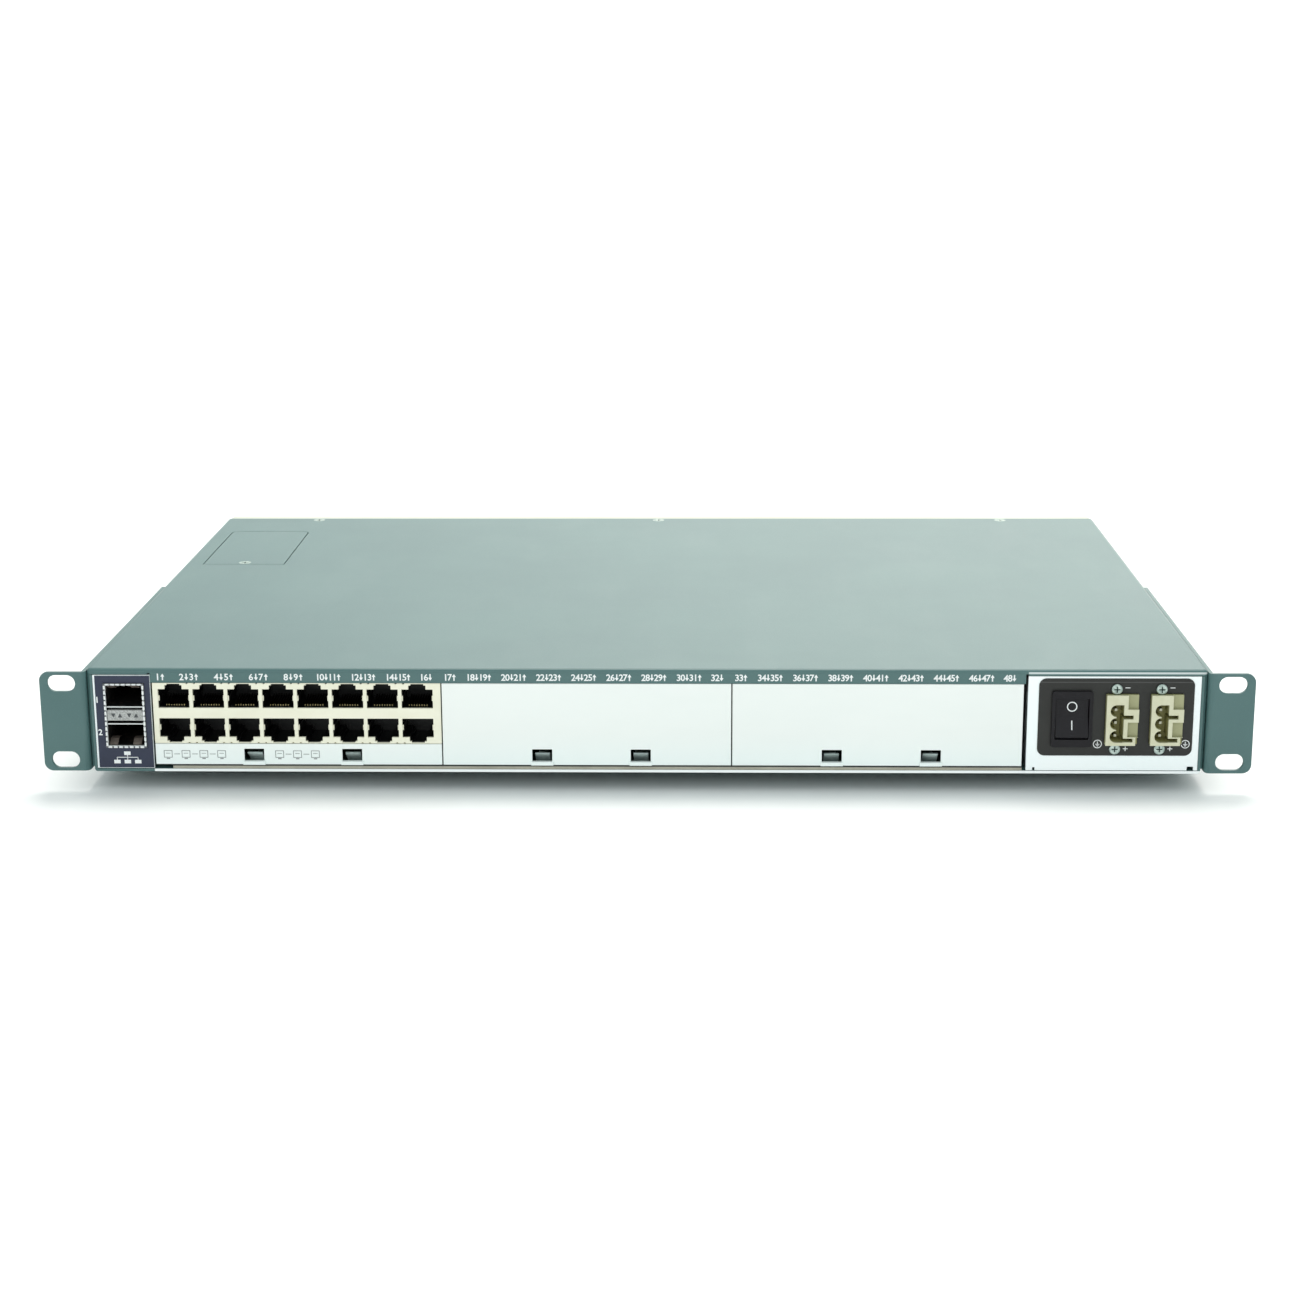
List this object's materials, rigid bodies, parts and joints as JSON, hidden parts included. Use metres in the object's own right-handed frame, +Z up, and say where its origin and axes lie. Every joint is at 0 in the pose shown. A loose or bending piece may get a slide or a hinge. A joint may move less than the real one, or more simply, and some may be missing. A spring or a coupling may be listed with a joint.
{
  "type": "rackmount network switch",
  "caption": "Flat rack-mounted network unit with stacked jacks, transceiver cage, blank bays, rocker switch, power headers and slotted ears.",
  "frame": {"origin": "underside of the tray, at the middle of the whole outline in X and Y", "axes": "+X right along the port face, +Y from the port face to the far face, +Z up"},
  "size_m": [0.4826, 0.309, 0.0428],
  "materials": {
    "teal_paint": "fine satin powder coat",
    "white_metal": "smooth satin white",
    "bright_steel": "bright plated sheet",
    "screw_steel": "zinc-plated",
    "post_brass": "turned",
    "ivory_plastic": "fine moulded texture",
    "cream_plastic": "moulded",
    "olive_plastic": "moulded",
    "navy_film": "satin printed overlay",
    "brown_film": "satin printed overlay",
    "black_plastic": "moulded",
    "grey_plastic": "moulded",
    "clear_plastic": "milky clear",
    "green_board": "solder mask over glass cloth",
    "gold_contact": "gold-plated",
    "tin_metal": "tin-plated",
    "spring_steel": "dark spring temper",
    "beige_fabric": "conductive weave over foam",
    "silver_aluminium": "extruded",
    "copper_coil": "taped winding",
    "capacitor_sleeve": "shrunk sleeve",
    "lead_sleeve": "extruded sleeve"
  },
  "bodies": {
    "chassis": {"top_cover": "teal_paint", "base_tray": "teal_paint", "left_rack_ear": "teal_paint", "right_rack_ear": "teal_paint", "network_panel": "bright_steel", "power_panel": "bright_steel", "power_shield": "bright_steel", "door_keeper": "bright_steel", "sfp_cage": "bright_steel", "sfp_spring_rim": "bright_steel", "cover_screws": "screw_steel", "ear_screws": "screw_steel", "board_screws": "screw_steel", "inlet_screws": "screw_steel", "fan_screws": "screw_steel", "board_posts": "post_brass", "rear_bezel": "ivory_plastic", "power_inlet_a": "olive_plastic", "power_inlet_b": "olive_plastic", "network_label": "navy_film", "power_label": "brown_film", "switch_housing": "black_plastic", "fan_1_frame": "black_plastic", "fan_2_frame": "black_plastic", "fan_3_frame": "black_plastic", "card_guides": "black_plastic", "logic_chips": "black_plastic", "board_connectors": "black_plastic", "backplane_sockets": "grey_plastic", "sfp_sockets": "grey_plastic", "sfp_light_guide": "clear_plastic", "status_lights": "clear_plastic", "main_board": "green_board", "backplane_board": "green_board", "power_board": "green_board", "memory_card": "green_board", "inlet_pins": "tin_metal", "switch_tabs": "tin_metal", "coin_cell": "tin_metal", "bay_spring_clips": "spring_steel", "emi_gasket": "beige_fabric", "heat_sink": "silver_aluminium", "power_heat_sink": "silver_aluminium", "power_coils": "copper_coil", "power_capacitors": "capacitor_sleeve", "leads": "lead_sleeve"},
    "rocker": {"switch_rocker": "black_plastic"},
    "card": {"card_bracket": "white_metal", "jack_block": "cream_plastic", "jack_contacts": "gold_contact", "card_board": "green_board", "card_chips": "black_plastic", "card_plug": "grey_plastic"},
    "blank_a": {"blank_panel_a": "white_metal"},
    "blank_b": {"blank_panel_b": "white_metal"},
    "door": {"access_door": "teal_paint", "door_screw": "screw_steel"},
    "rotor_1": {"fan_1_rotor": "black_plastic"},
    "rotor_2": {"fan_2_rotor": "black_plastic"},
    "rotor_3": {"fan_3_rotor": "black_plastic"}
  },
  "joints": [
    {"name": "rocker_tilt", "type": "hinge", "parent": "chassis", "child": "rocker", "pos_m": [0.16975, -0.1473, 0.0229], "axis": [1, 0, 0], "range_deg": [0, 16]},
    {"name": "card_slide", "type": "slide", "parent": "chassis", "child": "card", "axis": [0, -1, 0], "range_m": [0, 0.13]},
    {"name": "blank_a_slide", "type": "slide", "parent": "chassis", "child": "blank_a", "axis": [0, -1, 0], "range_m": [0, 0.04]},
    {"name": "blank_b_slide", "type": "slide", "parent": "chassis", "child": "blank_b", "axis": [0, -1, 0], "range_m": [0, 0.04]},
    {"name": "door_hinge", "type": "hinge", "parent": "chassis", "child": "door", "pos_m": [-0.19495, 0.11532, 0.0428], "axis": [-1, 0, 0], "range_deg": [0, 50]},
    {"name": "fan_1_spin", "type": "hinge", "parent": "chassis", "child": "rotor_1", "pos_m": [0.02625, 0.12625, 0.02025], "axis": [0, 1, 0], "continuous": true},
    {"name": "fan_2_spin", "type": "hinge", "parent": "chassis", "child": "rotor_2", "pos_m": [0.07225, 0.12625, 0.02025], "axis": [0, 1, 0], "continuous": true},
    {"name": "fan_3_spin", "type": "hinge", "parent": "chassis", "child": "rotor_3", "pos_m": [0.11825, 0.12625, 0.02025], "axis": [0, 1, 0], "continuous": true}
  ]
}
